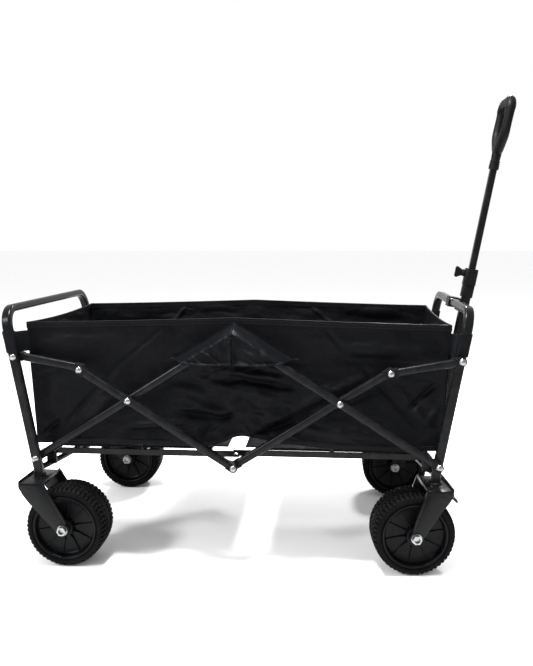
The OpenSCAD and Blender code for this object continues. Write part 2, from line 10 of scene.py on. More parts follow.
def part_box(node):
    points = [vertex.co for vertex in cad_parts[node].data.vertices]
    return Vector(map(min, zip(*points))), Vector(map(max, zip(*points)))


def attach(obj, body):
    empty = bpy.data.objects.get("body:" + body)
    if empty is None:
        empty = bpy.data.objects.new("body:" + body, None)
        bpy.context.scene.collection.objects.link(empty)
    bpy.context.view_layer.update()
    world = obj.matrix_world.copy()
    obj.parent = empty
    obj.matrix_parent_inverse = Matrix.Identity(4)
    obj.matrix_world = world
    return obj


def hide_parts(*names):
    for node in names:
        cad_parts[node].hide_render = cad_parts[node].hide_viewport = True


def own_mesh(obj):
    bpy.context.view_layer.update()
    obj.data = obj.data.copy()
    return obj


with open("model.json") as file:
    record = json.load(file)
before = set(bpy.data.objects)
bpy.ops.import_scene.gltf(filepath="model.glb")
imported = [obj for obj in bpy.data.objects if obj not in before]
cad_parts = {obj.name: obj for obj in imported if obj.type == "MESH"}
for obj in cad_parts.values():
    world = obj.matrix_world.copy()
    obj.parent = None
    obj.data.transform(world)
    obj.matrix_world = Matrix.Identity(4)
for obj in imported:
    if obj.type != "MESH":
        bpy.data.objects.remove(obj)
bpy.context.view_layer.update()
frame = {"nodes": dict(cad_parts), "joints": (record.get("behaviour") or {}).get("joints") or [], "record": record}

PIVOT = {joint["name"]: Vector(joint["pos_m"]) for joint in frame["joints"] if "pos_m" in joint}
SLIDE = next(Vector(joint["axis"]) for joint in frame["joints"] if joint["name"] == "handle_slide")
LEAN = math.atan2(SLIDE.x, SLIDE.z)
HUB_X = PIVOT["lower_hub"].x
NEAR, FAR = -1, 1
REAR, FRONT = -1, 1

# The basket, measured from the hub plane, as the CAD walls are
WALL_LOW, WALL_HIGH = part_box("basket_side_walls")
WALL_Y = WALL_HIGH.y
CLOTH = 0.0012
RIM_Z = 0.514
RIM_RISE = WALL_HIGH.z - RIM_Z
TOP_X = (WALL_HIGH.x - WALL_LOW.x) / 2
LOW_X = TOP_X - 0.013
LOW_Z = WALL_LOW.z


# ---- forms -----------------------------------------------------------------------------------
class Shape:
    """The points and faces of one piece, gathered from simple forms."""

    def __init__(self):
        self.points = []
        self.faces = []

    def add(self, points, faces):
        first = len(self.points)
        self.points.extend(points)
        self.faces.extend(tuple(first + i for i in face) for face in faces)

    def grid(self, rows, wrap_rows=False, wrap_columns=False):
        count, width = len(rows), len(rows[0])
        faces = []
        for i in range(count if wrap_rows else count - 1):
            for j in range(width if wrap_columns else width - 1):
                k, m = (i + 1) % count, (j + 1) % width
                faces.append((i * width + j, i * width + m, k * width + m, k * width + j))
        self.add([point for row in rows for point in row], faces)

    def tube(self, path, radius, sides=10, closed=False, flat=1.0, side_axis=None):
        """Round tube along a path; radius is a number or a function of the share of the path."""
        count = len(path)
        rows = []
        across = side_axis or Vector((0.0, 1.0, 0.0))
        for i, point in enumerate(path):
            ahead = path[(i + 1) % count] if closed or i + 1 < count else point
            behind = path[i - 1] if closed or i > 0 else point
            along = (ahead - behind).normalized()
            across = (across - along * across.dot(along)).normalized()
            other = along.cross(across)
            r = radius(i / count) if callable(radius) else radius
            rows.append([point + (across * math.cos(a) + other * (flat * math.sin(a))) * r
                         for a in (2 * math.pi * j / sides for j in range(sides))])
        first = len(self.points)
        self.grid(rows, wrap_rows=closed, wrap_columns=True)
        if not closed:
            last = len(self.points) - sides
            self.faces.append(tuple(first + j for j in reversed(range(sides))))
            self.faces.append(tuple(last + j for j in range(sides)))

    def turned(self, profile, place, steps=64, radius_at=None):
        """Closed outline of (radius, height) pairs turned about the Z axis of place."""
        rows = []
        for i in range(steps):
            a = 2 * math.pi * i / steps
            ring = []
            for r, h in profile:
                r_here = radius_at(r, h, a) if radius_at else r
                ring.append(place @ Vector((r_here * math.cos(a), r_here * math.sin(a), h)))
            rows.append(ring)
        self.grid(rows, wrap_rows=True, wrap_columns=True)

    def prism(self, outline, depth, place, bevel=0.001, segments=2):
        """Outline of (x, y) pairs in the XY plane of place, thickened along its Z, with soft edges."""
        block = bmesh.new()
        base = block.faces.new([block.verts.new((x, y, 0)) for x, y in outline])
        made = bmesh.ops.extrude_face_region(block, geom=[base])
        moved = [v for v in made["geom"] if isinstance(v, bmesh.types.BMVert)]
        bmesh.ops.translate(block, verts=moved, vec=(0, 0, depth))
        bmesh.ops.recalc_face_normals(block, faces=block.faces)
        if bevel:
            sharp = [e for e in block.edges if len(e.link_faces) == 2 and e.calc_face_angle() > 0.6]
            bmesh.ops.bevel(block, geom=sharp, offset=bevel, offset_type="OFFSET", segments=segments,
                            profile=0.5, affect="EDGES", clamp_overlap=True)
        block.verts.index_update()
        self.add([place @ v.co for v in block.verts], [[v.index for v in f.verts] for f in block.faces])
        block.free()

    def box(self, size, place, bevel=0.001, segments=2):
        """Box centred on place."""
        x, y, z = (s / 2 for s in size)
        self.prism([(-x, -y), (x, -y), (x, y), (-x, y)], 2 * z,
                   place @ Matrix.Translation((0, 0, -z)), bevel, segments)

    def piece(self, name, body, slot, material, replaces=(), crease=40, thick=0.0):
        mesh = bpy.data.meshes.new(name)
        mesh.from_pydata([tuple(p) for p in self.points], [], self.faces)
        tidy = bmesh.new()
        tidy.from_mesh(mesh)
        bmesh.ops.recalc_face_normals(tidy, faces=tidy.faces)
        tidy.to_mesh(mesh)
        tidy.free()
        mesh.materials.append(material)
        made = bpy.data.objects.new(name, mesh)
        bpy.context.scene.collection.objects.link(made)
        if thick:
            solid = made.modifiers.new("thickness", "SOLIDIFY")
            solid.thickness = thick
            solid.offset = 0
            apply_modifiers(made)
        made.data.shade_smooth()
        made.data.set_sharp_from_angle(angle=math.radians(crease))
        if replaces:
            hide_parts(*replaces)
        if body:
            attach(made, body)
        return made


def apply_modifiers(piece):
    graph = bpy.context.evaluated_depsgraph_get()
    piece.data = bpy.data.meshes.new_from_object(piece.evaluated_get(graph))
    piece.modifiers.clear()


def smooth(t):
    t = min(max(t, 0.0), 1.0)
    return t * t * (3 - 2 * t)


def arc(x, y, radius, start, end, steps):
    """Points on a circle from one angle to another, in degrees."""
    turns = (math.radians(start + (end - start) * i / steps) for i in range(steps + 1))
    return [(x + radius * math.cos(a), y + radius * math.sin(a)) for a in turns]


def soft_square(width, corner, steps=5, height=None):
    """Outline of a square or rectangle with round corners."""
    half, rise = width / 2 - corner, (height or width) / 2 - corner
    outline = []
    for x, y, start in ((half, rise, 0), (-half, rise, 90), (-half, -rise, 180), (half, -rise, 270)):
        outline += arc(x, y, corner, start, start + 90, steps)
    return outline


def along_curve(points, x):
    """Height at x of the soft curve through (x, height) points."""
    for (x0, z0), (x1, z1) in zip(points, points[1:]):
        if x <= x1:
            return z0 + (z1 - z0) * smooth((x - x0) / (x1 - x0))
    return points[-1][1]


def axes(origin, x_axis, y_axis, z_axis):
    place = Matrix((x_axis, y_axis, z_axis)).transposed().to_4x4()
    place.translation = origin
    return place


# ---- materials -------------------------------------------------------------------------------
class Finish:
    """One procedural material, with short calls for the nodes that it needs."""

    def __init__(self, name, metallic=0.0, specular=0.5):
        self.material = bpy.data.materials.new(name)
        self.material.use_nodes = True
        self.tree = self.material.node_tree
        self.shader = self.tree.nodes["Principled BSDF"]
        self.place = self.tree.nodes.new("ShaderNodeTexCoord").outputs["Object"]
        self.set(self.shader, "Metallic", metallic)
        self.set(self.shader, "Specular IOR Level", specular)

    def set(self, node, socket, value):
        if isinstance(value, bpy.types.NodeSocket):
            self.tree.links.new(value, node.inputs[socket])
        else:
            node.inputs[socket].default_value = value

    def math(self, operation, a, b=0.0, c=0.0):
        node = self.tree.nodes.new("ShaderNodeMath")
        node.operation = operation
        for i, value in enumerate((a, b, c)):
            self.set(node, i, value)
        return node.outputs[0]

    def noise(self, scale, detail=4.0, roughness=0.55, stretch=None):
        node = self.tree.nodes.new("ShaderNodeTexNoise")
        place = self.place
        if stretch:
            mapping = self.tree.nodes.new("ShaderNodeMapping")
            mapping.inputs["Scale"].default_value = stretch
            self.set(mapping, "Vector", self.place)
            place = mapping.outputs[0]
        self.set(node, "Vector", place)
        self.set(node, "Scale", scale)
        self.set(node, "Detail", detail)
        self.set(node, "Roughness", roughness)
        return node.outputs["Fac"]

    def ramp(self, value, low, high, out_low=0.0, out_high=1.0):
        node = self.tree.nodes.new("ShaderNodeMapRange")
        for socket, number in (("From Min", low), ("From Max", high),
                               ("To Min", out_low), ("To Max", out_high)):
            self.set(node, socket, number)
        self.set(node, "Value", value)
        return node.outputs[0]

    def mix(self, share, a, b):
        node = self.tree.nodes.new("ShaderNodeMix")
        node.data_type = "RGBA"
        self.set(node, 0, share)
        self.set(node, 6, a if isinstance(a, bpy.types.NodeSocket) else (*a, 1))
        self.set(node, 7, b if isinstance(b, bpy.types.NodeSocket) else (*b, 1))
        return node.outputs[2]

    def edges(self, low=0.52, high=0.6):
        """Share of wear at outer edges."""
        node = self.tree.nodes.new("ShaderNodeNewGeometry")
        return self.ramp(node.outputs["Pointiness"], low, high)

    def bump(self, height, distance, strength=1.0, below=None):
        node = self.tree.nodes.new("ShaderNodeBump")
        self.set(node, "Height", height)
        self.set(node, "Distance", distance)
        self.set(node, "Strength", strength)
        if below:
            self.set(node, "Normal", below)
        return node.outputs[0]

    def colour(self, value):
        self.set(self.shader, "Base Color", value)
        return self

    def rough(self, value):
        self.set(self.shader, "Roughness", value)
        return self

    def normal(self, value):
        self.set(self.shader, "Normal", value)
        return self


def weave(finish, across, pitch):
    """Height of a plain weave; across holds the weights of x, y and z in the warp's direction."""
    parts = finish.tree.nodes.new("ShaderNodeSeparateXYZ")
    finish.set(parts, 0, finish.place)
    flat = finish.math("MULTIPLY", parts.outputs[0], across[0])
    flat = finish.math("MULTIPLY_ADD", parts.outputs[1], across[1], flat)
    rise = finish.math("MULTIPLY", parts.outputs[2], across[2])
    if not across[2]:
        flat, rise = parts.outputs[0], parts.outputs[1]
    turn = math.pi / pitch
    warp = finish.math("SINE", finish.math("MULTIPLY", flat, turn))
    weft = finish.math("SINE", finish.math("MULTIPLY", rise, turn))
    return finish.math("MULTIPLY", warp, weft)


def cloth_finish(name, dark, light, across=(1.0, 1.0, 1.0), pitch=0.0011):
    f = Finish(name, specular=0.045)
    threads = weave(f, across, pitch)
    patches = f.ramp(f.noise(9.0, 3.0), 0.35, 0.68)
    fibres = f.noise(900.0, 2.0, 0.6)
    share = f.math("MULTIPLY_ADD", fibres, 0.35, f.math("MULTIPLY", patches, 0.6))
    f.colour(f.mix(share, dark, light))
    f.rough(f.ramp(f.noise(26.0, 4.0), 0.3, 0.7, 0.38, 0.50))
    creases = f.bump(f.noise(30.0, 6.0, 0.6), 0.0040, 0.8)
    f.normal(f.bump(threads, 0.00018, 0.7, creases))
    return f.material


def paint_finish():
    f = Finish("black_powder_coat", specular=0.09)
    cloud = f.noise(22.0, 4.0)
    base = f.mix(cloud, (0.0018, 0.0019, 0.0022), (0.0036, 0.0038, 0.0042))
    scuff = f.math("MULTIPLY", f.edges(0.53, 0.62), f.ramp(f.noise(60.0, 5.0), 0.45, 0.75))
    f.colour(f.mix(f.math("MULTIPLY", scuff, 0.3), base, (0.022, 0.022, 0.024)))
    f.rough(f.ramp(cloud, 0.3, 0.7, 0.20, 0.30))
    f.normal(f.bump(f.noise(1500.0, 2.0), 0.00008, 0.5))
    return f.material


def plastic_finish(name, dark, light, rough=(0.38, 0.52)):
    f = Finish(name, specular=0.06)
    cloud = f.noise(30.0, 4.0)
    base = f.mix(cloud, dark, light)
    f.colour(f.mix(f.math("MULTIPLY", f.edges(), 0.25), base, tuple(c * 3.2 for c in light)))
    f.rough(f.ramp(cloud, 0.3, 0.7, *rough))
    f.normal(f.bump(f.noise(1400.0, 3.0, 0.65), 0.00012, 0.55))
    return f.material


def rubber_finish():
    f = Finish("tyre_rubber", specular=0.025)
    dust = f.ramp(f.noise(42.0, 6.0, 0.65), 0.42, 0.72)
    base = f.mix(dust, (0.0010, 0.0010, 0.0011), (0.0034, 0.0035, 0.0034))
    f.colour(f.mix(f.math("MULTIPLY", f.edges(0.51, 0.6), 0.4), base, (0.011, 0.011, 0.0108)))
    f.rough(f.ramp(dust, 0.0, 1.0, 0.56, 0.78))
    f.normal(f.bump(f.noise(700.0, 4.0, 0.7), 0.0002, 0.6))
    return f.material


def steel_finish():
    f = Finish("zinc_plated_steel", metallic=1.0)
    cloud = f.noise(160.0, 4.0)
    f.colour(f.mix(cloud, (0.15, 0.152, 0.155), (0.27, 0.27, 0.268)))
    f.rough(f.ramp(f.noise(400.0, 3.0, 0.6, (1.0, 1.0, 6.0)), 0.3, 0.7, 0.2, 0.36))
    f.normal(f.bump(f.noise(900.0, 2.0), 0.00006, 0.4))
    return f.material


def floor_finish():
    f = Finish("studio_floor", specular=0.2)
    f.colour(f.mix(f.noise(3.0, 2.0), (0.93, 0.93, 0.93), (0.96, 0.96, 0.96)))
    f.rough(f.ramp(f.noise(50.0, 3.0), 0.3, 0.7, 0.72, 0.82))
    return f.material


PAINT = paint_finish()
STEEL = steel_finish()
RUBBER = rubber_finish()
PLASTIC = plastic_finish("moulded_black", (0.0018, 0.0018, 0.0020), (0.0036, 0.0036, 0.0040))
RIM = plastic_finish("rim_black", (0.0012, 0.0013, 0.0016), (0.0026, 0.0028, 0.0033), (0.26, 0.4))
GRIP = plastic_finish("grip_soft_touch", (0.0018, 0.0018, 0.0020), (0.0036, 0.0036, 0.0039), (0.42, 0.55))
BASKET = cloth_finish("basket_oxford", (0.0013, 0.0014, 0.0019), (0.0028, 0.0030, 0.0039))
TAPE = cloth_finish("binding_tape", (0.0018, 0.0019, 0.0025), (0.0038, 0.0040, 0.0050), pitch=0.0016)
MAT = cloth_finish("mat_oxford", (0.0018, 0.0019, 0.0025), (0.0040, 0.0042, 0.0052), (1.0, 0.0, 0.0))
THREAD = cloth_finish("thread", (0.006, 0.0063, 0.007), (0.013, 0.0133, 0.0145), pitch=0.0005)


# ---- wheels ----------------------------------------------------------------------------------
TREAD_LUGS = 52


def wheel_place(joint):
    """Z is the axle's line, from the far to the near side."""
    spin = next(j for j in frame["joints"] if j["name"] == joint)
    axle = -Vector(spin["axis"])
    return axes(Vector(spin["pos_m"]), axle.cross(Vector((0, 0, 1))), Vector((0, 0, -1)), axle)


def tread_depth(radius, height, angle):
    """Radius of the tyre with its tread cut in: ring grooves, block gaps and shoulder lugs."""
    if radius < 0.0792:
        return radius
    out = abs(height)
    phase = angle * TREAD_LUGS / (2 * math.pi)
    cut = 0.0
    if 0.0085 < out < 0.0116 or 0.0224 < out < 0.0251:
        cut = 0.0026
    elif out < 0.0085:
        cut = 0.0012 if (phase + height * 55) % 1 < 0.22 else 0.0
    elif out < 0.0224:
        cut = 0.0021 if (phase + math.copysign(0.3, height) + out * 40) % 1 < 0.26 else 0.0
    else:
        cut = 0.0030 if (phase + 0.5 + out * 12) % 1 < 0.38 else 0.0
    return radius - cut


def tyre(name, joint, body):
    half = [(0.0850, 0.004), (0.0850, 0.0084), (0.0850, 0.0087), (0.0850, 0.0114), (0.0850, 0.0118),
            (0.0848, 0.017), (0.0846, 0.0222), (0.0846, 0.0226), (0.0845, 0.0249), (0.0845, 0.0253),
            (0.0842, 0.030), (0.0834, 0.0345), (0.0818, 0.0382), (0.0795, 0.0404), (0.0788, 0.0406),
            (0.0765, 0.0416), (0.0735, 0.0419), (0.0712, 0.0413), (0.0703, 0.0402), (0.0694, 0.0398),
            (0.0683, 0.0390), (0.0680, 0.0375)]
    profile = half + [(r, -h) for r, h in reversed(half)]
    shape = Shape()
    shape.turned(profile, wheel_place(joint), TREAD_LUGS * 8, tread_depth)
    return shape.piece(name, body, "tyre", RUBBER, [name.removesuffix("_rubber")], crease=32)


def rim(name, joint, body):
    half = [(0.0677, 0.0370), (0.0679, 0.0392), (0.0674, 0.0408), (0.0662, 0.0415), (0.0646, 0.0412),
            (0.0634, 0.0400), (0.0626, 0.0378), (0.0621, 0.0345), (0.0612, 0.0305), (0.0598, 0.0278),
            (0.0575, 0.0262), (0.0480, 0.0246), (0.0340, 0.0238), (0.0230, 0.0240), (0.0196, 0.0256),
            (0.0184, 0.0290), (0.0178, 0.0360), (0.0174, 0.0402), (0.0164, 0.0410), (0.0085, 0.0410),
            (0.0068, 0.0404), (0.00605, 0.0385)]
    profile = half + [(r, -h) for r, h in reversed(half)]
    place = wheel_place(joint)
    shape = Shape()
    shape.turned(profile, place, 128)
    for side in (NEAR, FAR):
        for i in range(10):
            turn = Matrix.Rotation(math.radians(36 * i + 9), 4, "Z")
            rib = [(0.0186, 0.0220), (0.0600, 0.0235), (0.0602, 0.0300), (0.0480, 0.0278),
                   (0.0300, 0.0280), (0.0186, 0.0345)]
            upright = Matrix(((1, 0, 0, 0), (0, 0, -1, 0.0009), (0, side, 0, 0), (0, 0, 0, 1)))
            shape.prism(rib, 0.0018, place @ turn @ upright, 0.0005, 1)
    return shape.piece(name, body, "rim_plastic", RIM, [name.removesuffix("_moulding")], crease=38)


WHEELS = [("rear_near", "rear_near_wheel_spin", "rear_near_wheel"),
          ("rear_far", "rear_far_wheel_spin", "rear_far_wheel"),
          ("front_near", "front_near_wheel_spin", "front_near_wheel"),
          ("front_far", "front_far_wheel_spin", "front_far_wheel")]
for corner, spin, wheel in WHEELS:
    tyre(f"tyre_{corner}_rubber", spin, wheel)
    rim(f"rim_{corner}_moulding", spin, wheel)


# ---- forks and brakes ------------------------------------------------------------------------
PLATE_Y = 0.048
PLATE_T = 0.003
WASHER_T = 0.0012
FORK_TOP = 0.184
AXLE_Z = PIVOT["rear_near_wheel_spin"].z
FOOT_X = PIVOT["near_castor_swivel"].x


def upright_plane(place, y):
    """XY of the result is XZ of place, and its Z points to place's -Y."""
    return place @ axes(Vector((0, y, 0)), Vector((1, 0, 0)), Vector((0, 0, 1)), Vector((0, -1, 0)))


def fork(name, place, trail, body, node):
    """Stamped fork about its upright axis; the axle lies at -trail."""
    shape = Shape()
    x_in, x_out = -0.027, 0.028
    plate = [(x_out, FORK_TOP - 0.001), (x_out, FORK_TOP - 0.010), (x_out - 0.009, FORK_TOP - 0.026),
             (x_out - 0.022, FORK_TOP - 0.043)]
    plate += arc(-trail, AXLE_Z, 0.0132, -48, -228, 12)
    plate += [(x_in, FORK_TOP - 0.001)]
    lip = [(x_in - 0.0002, FORK_TOP - 0.002), (x_in + 0.0026, FORK_TOP - 0.002),
           (-trail - 0.0058, AXLE_Z + 0.016), (-trail - 0.0090, AXLE_Z + 0.016)]
    for side in (NEAR, FAR):
        outside = PLATE_Y if side < 0 else PLATE_Y + PLATE_T
        y = side * outside
        shape.prism(plate, PLATE_T, upright_plane(place, y), 0.0007)
        inner = side * (PLATE_Y if side < 0 else PLATE_Y + 0.0072)
        shape.prism(lip, 0.0072, upright_plane(place, inner), 0.0006)
        rib = Matrix.Translation((0.002, side * (PLATE_Y + PLATE_T), FORK_TOP - 0.013))
        shape.box((0.017, 0.0026, 0.0034), place @ rib, 0.0011, 2)
        washer = arc(0, 0, 0.0122, 0, 345, 23)
        seat_y = side * (PLATE_Y + PLATE_T) + min(side, 0) * WASHER_T
        seat = Matrix.Translation((-trail, seat_y, AXLE_Z)) @ Matrix.Rotation(math.radians(-90), 4, "X")
        shape.prism(washer, WASHER_T, place @ seat, 0.0003, 1)
    width = 2 * (PLATE_Y + PLATE_T)
    middle = Matrix.Translation(((x_in + x_out) / 2, 0, FORK_TOP - 0.002))
    shape.box((x_out - x_in, width, 0.004), place @ middle, 0.0012)
    for x in (x_in + 0.0012, x_out - 0.0012):
        shape.box((0.0026, width, 0.008), place @ Matrix.Translation((x, 0, FORK_TOP)), 0.0008)
    shape.turned([(0.0062, FORK_TOP - 0.0035), (0.016, FORK_TOP - 0.0035), (0.0165, FORK_TOP + 0.0008),
                  (0.0150, FORK_TOP + 0.0016), (0.0062, FORK_TOP + 0.0016)], place, 40)
    return shape.piece(name, body, "frame_paint", PAINT, [node], crease=34)


def pedal(name, place, body, node):
    """Brake pedal: a barrel on its pin, a ribbed foot plate and the arm that presses on the tyre."""
    pin = place @ Matrix.Translation((0.020, 0, FORK_TOP - 0.015))
    lying = Matrix.Rotation(math.radians(90), 4, "X")
    shape = Shape()
    shape.turned([(0.0031, -0.017), (0.0060, -0.017), (0.0064, -0.0162), (0.0064, 0.0162),
                  (0.0060, 0.017), (0.0031, 0.017)], pin @ lying, 32)
    half = PLATE_Y - 0.0003
    shape.turned([(0.0001, -half), (0.0029, -half), (0.0029, half), (0.0001, half)], pin @ lying, 20)
    tilt = Matrix.Rotation(math.radians(PEDAL_TILT), 4, "Y")
    shape.box((0.031, 0.034, 0.0036), pin @ tilt @ Matrix.Translation((0.0175, 0, 0)), 0.0012)
    for i in range(5):
        rib = Matrix.Translation((0.010 + 0.005 * i, 0, 0.0021))
        shape.box((0.0018, 0.028, 0.0016), pin @ tilt @ rib, 0.0006)
    shape.box((0.0044, 0.024, 0.020), pin @ Matrix.Translation((-0.0006, 0, -0.0105)), 0.0012)
    return shape.piece(name, body, "frame_paint", PAINT, [node], crease=36)


def standing(joint, axis_joint):
    """Place of a fork: on its swivel's line at ground level, turned as its axle is."""
    side = Vector(next(j for j in frame["joints"] if j["name"] == axis_joint)["axis"])
    along = side.cross(Vector((0, 0, 1)))
    return axes(Vector((joint.x, joint.y, 0)), along, side, Vector((0, 0, 1)))


PEDAL_TILT = 40
CASTOR_TRAIL = (PIVOT["far_castor_swivel"] - PIVOT["front_far_wheel_spin"]).xy.length
REAR_FOOT_X = 2 * HUB_X - FOOT_X
REAR_TRAIL = PIVOT["rear_near_wheel_spin"].x - REAR_FOOT_X
for side, y_name in ((NEAR, "near"), (FAR, "far")):
    swivel = standing(PIVOT[f"{y_name}_castor_swivel"], f"front_{y_name}_wheel_spin")
    fork(f"front_fork_{y_name}", swivel, CASTOR_TRAIL, f"{y_name}_castor", f"castor_{y_name}_fork")
    pedal(f"brake_{y_name}", swivel, f"{y_name}_pedal", f"{y_name}_brake_pedal")
    foot = Vector((REAR_FOOT_X, PIVOT[f"rear_{y_name}_wheel_spin"].y, 0))
    turned_back = axes(foot, Vector((-1, 0, 0)), Vector((0, -1, 0)), Vector((0, 0, 1)))
    fork(f"rear_fork_{y_name}", turned_back, REAR_TRAIL, "rear_frame", f"rear_forks_{y_name}")


# ---- side bars -------------------------------------------------------------------------------
OUTER_Y, INNER_Y = 0.254, 0.236
BAR_T, BAR_H, BAR_CORNER = 0.016, 0.017, 0.0056
CAP_T, CAP_R, CAP_LEN = 0.017, 0.009, 0.0145
CROSS_TO_HUB = (PIVOT["rear_crossing"] - PIVOT["lower_hub"]).length
CROSS_TO_LINK = 0.1205


def past(start, through, distance):
    """Point on the line from start through a second point, a distance beyond that one."""
    return through + (through - start).normalized() * distance


HUB_LOW = PIVOT["lower_hub"]
POINTS = {}
for end, sign in (("rear", REAR), ("front", FRONT)):
    leg = PIVOT["fold"] if sign < 0 else PIVOT["front_leg_pivot"]
    crossing = PIVOT[f"{end}_crossing"]
    POINTS[end] = {"leg": leg, "cross": crossing, "top": PIVOT[f"{end}_link_pivot"],
                   "hub_high": past(leg, crossing, CROSS_TO_HUB),
                   "link": past(HUB_LOW, crossing, CROSS_TO_LINK), "hub_low": HUB_LOW}


def bar_cap(shape, pivot, toward, y):
    along = (toward - pivot).normalized()
    place = axes(Vector((pivot.x, y - CAP_T / 2, pivot.z)), along, Vector((0, 1, 0)).cross(along),
                 Vector((0, 1, 0)))
    outline = arc(0, 0, CAP_R, 90, 270, 14) + [(CAP_LEN, -CAP_R), (CAP_LEN, CAP_R)]
    shape.prism(outline, CAP_T, place, 0.0013, 3)
    collar = Matrix.Translation((CAP_LEN - 0.001, 0, CAP_T / 2))
    shape.box((0.0024, 2 * CAP_R + 0.0006, CAP_T + 0.0004), place @ collar, 0.0007, 2)


def caps(node, body, ends, y):
    shape = Shape()
    for side in (NEAR, FAR):
        for pivot, toward in ends:
            bar_cap(shape, pivot, toward, side * y)
    replaced = [node] if node.endswith("caps") else []
    return shape.piece(f"{node}_moulded", body, "black_plastic", PLASTIC, replaced, crease=34)


def bars(node, body, start, end, y):
    """The pair of soft-cornered tubes between two pivots, on the near and far side."""
    shape = Shape()
    along = (end - start).normalized()
    tuck = 0.001
    length = (end - start).length - 2 * (CAP_LEN - tuck)
    for side in (NEAR, FAR):
        first = Vector((start.x, side * y, start.z)) + along * (CAP_LEN - tuck)
        across = Vector((0, 1, 0))
        place = axes(first, across, along.cross(across), along)
        shape.prism(soft_square(BAR_T, BAR_CORNER, 6, BAR_H), length, place, 0)
    return shape.piece(f"{node}_tube", body, "frame_paint", PAINT, [node], crease=50)


R, F = POINTS["rear"], POINTS["front"]
bars("rear_rising_bars", "rear_rising", R["leg"], R["hub_high"], INNER_Y)
bars("rear_falling_bars", "rear_falling", R["link"], HUB_LOW, OUTER_Y)
bars("front_falling_bars", "front_falling", F["link"], HUB_LOW, INNER_Y)
bars("front_rising_bars", "front_rising", F["leg"], F["hub_high"], OUTER_Y)
bars("rear_links", "rear_link", R["top"], R["link"], INNER_Y)
bars("front_links", "front_link", F["top"], F["link"], OUTER_Y)
caps("rear_rising_caps", "rear_rising", [(R["leg"], R["hub_high"]), (R["hub_high"], R["leg"])], INNER_Y)
caps("rear_falling_caps", "rear_falling", [(R["link"], HUB_LOW), (HUB_LOW, R["link"])], OUTER_Y)
caps("front_falling_caps", "front_falling", [(F["link"], HUB_LOW), (HUB_LOW, F["link"])], INNER_Y)
caps("front_rising_caps", "front_rising", [(F["leg"], F["hub_high"]), (F["hub_high"], F["leg"])], OUTER_Y)
caps("rear_link_ends", "rear_link", [(R["top"], R["link"]), (R["link"], R["top"])], INNER_Y)
caps("front_link_ends", "front_link", [(F["top"], F["link"]), (F["link"], F["top"])], OUTER_Y)


# ---- basket ----------------------------------------------------------------------------------
NEAR_HEM = [(-0.434, 0.2500), (-0.300, 0.2520), (-0.150, 0.2508), (-0.060, 0.2510), (0.017, 0.2730),
            (0.060, 0.2650), (0.110, 0.2570), (0.210, 0.2495), (0.337, 0.2470), (0.434, 0.2500)]
FAR_HEM = [(-0.434, 0.2490), (-0.240, 0.2520), (-0.060, 0.2500), (0.000, 0.2620), (0.070, 0.2520),
           (0.250, 0.2500), (0.434, 0.2510)]
# Folds in a side wall: start and end (x, z), half width and height outwards
NEAR_FOLDS = [
    (-0.143, 0.512, -0.249, 0.423, 0.004, -0.0030), (-0.249, 0.423, -0.372, 0.290, 0.006, -0.0035),
    (0.188, 0.505, 0.234, 0.449, 0.004, -0.0028), (0.270, 0.420, 0.395, 0.285, 0.007, -0.0035),
    (0.020, 0.282, 0.300, 0.412, 0.013, 0.0045), (0.030, 0.262, 0.290, 0.380, 0.012, -0.0100),
    (-0.135, 0.333, 0.010, 0.322, 0.007, 0.0040), (-0.120, 0.318, 0.000, 0.305, 0.008, -0.0070),
    (-0.060, 0.385, 0.080, 0.352, 0.009, 0.0040), (-0.020, 0.410, 0.110, 0.396, 0.007, 0.0035),
    (-0.010, 0.398, 0.130, 0.372, 0.007, -0.0065), (-0.045, 0.300, 0.015, 0.350, 0.008, 0.0045),
    (-0.070, 0.275, 0.000, 0.330, 0.010, -0.0080), (-0.250, 0.286, -0.090, 0.302, 0.006, 0.0035),
    (-0.240, 0.272, -0.080, 0.290, 0.007, -0.0050), (-0.400, 0.470, -0.240, 0.478, 0.014, 0.0040),
    (-0.410, 0.330, -0.330, 0.440, 0.020, 0.0035), (-0.340, 0.275, -0.270, 0.350, 0.016, 0.0035),
    (0.120, 0.300, 0.210, 0.345, 0.012, 0.0040), (0.210, 0.275, 0.300, 0.300, 0.010, 0.0030),
    (0.230, 0.465, 0.420, 0.452, 0.013, 0.0040), (0.200, 0.440, 0.410, 0.428, 0.012, -0.0050),
    (0.340, 0.380, 0.405, 0.300, 0.008, 0.0035), (0.360, 0.330, 0.420, 0.390, 0.007, -0.0055),
    (0.395, 0.300, 0.425, 0.340, 0.006, 0.0030), (-0.420, 0.268, -0.380, 0.300, 0.006, -0.0045)]


def rim_height(x):
    """Height of the top edge, which peaks over the hub."""
    share = min(abs(x) / TOP_X, 1.0)
    return RIM_Z + RIM_RISE * (1 - share) ** 1.3


def fold_height(x, z, folds):
    total = 0.0
    for x0, z0, x1, z1, width, height in folds:
        dx, dz = x1 - x0, z1 - z0
        t = ((x - x0) * dx + (z - z0) * dz) / (dx * dx + dz * dz)
        if not -0.15 < t < 1.15:
            continue
        off = abs((x - x0) * dz - (z - z0) * dx) / math.hypot(dx, dz)
        taper = smooth((t + 0.15) / 0.4) * smooth((1.15 - t) / 0.4)
        total += height * taper * math.exp(-(off / width) ** 2)
    return total


def wrinkle(x, z, seed):
    """Crumpled cloth: soft ridges that run mostly along the wall."""
    at = Vector((x * 9, seed, z * 20 + x * 3))
    broad = noise.noise(at) * 0.007
    sharp = (0.30 - abs(noise.noise(at * 1.7 + Vector((5, 0, 2))))) * 0.0125
    fine = (0.25 - abs(noise.noise(at * 4.3))) * 0.0042
    slack = 0.30 + 0.70 * math.exp(-((x - 0.02) / 0.17) ** 2) * smooth((0.47 - z) / 0.05)
    return broad * 0.6 + (sharp + fine) * slack


